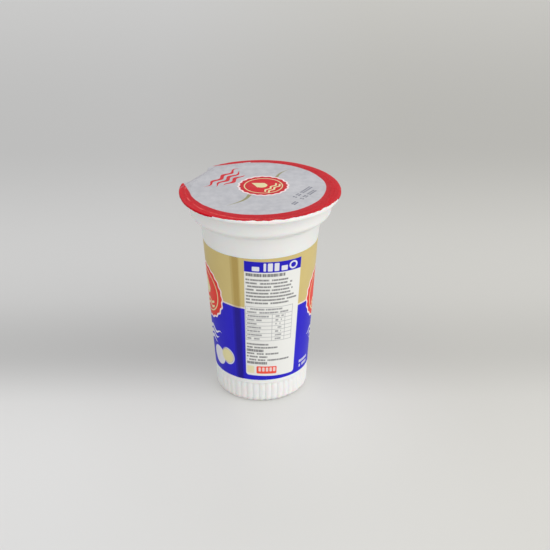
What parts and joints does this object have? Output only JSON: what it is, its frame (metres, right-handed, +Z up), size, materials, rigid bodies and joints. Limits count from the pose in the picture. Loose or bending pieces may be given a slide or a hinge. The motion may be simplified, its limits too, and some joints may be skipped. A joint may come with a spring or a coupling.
{
  "type": "drink cup",
  "caption": "Sealed single-serve ayran cup: tapered white plastic cup with fluted foot and collar, printed wrap-round label and foil lid with a folded pull tab",
  "frame": {"origin": "middle of the underside, on the surface that the cup stands on", "axes": "+Z up along the cup's axis; -Y is the front, the side with the white information panel; +X is to the right seen from the front"},
  "size_m": [0.076, 0.076, 0.103],
  "materials": {
    "cup_plastic": "satin",
    "label_print": "satin",
    "lid_foil": "satin"
  },
  "bodies": {
    "root": {"cup": "cup_plastic", "label": "label_print", "foil_lid": "lid_foil"}
  },
  "joints": []
}
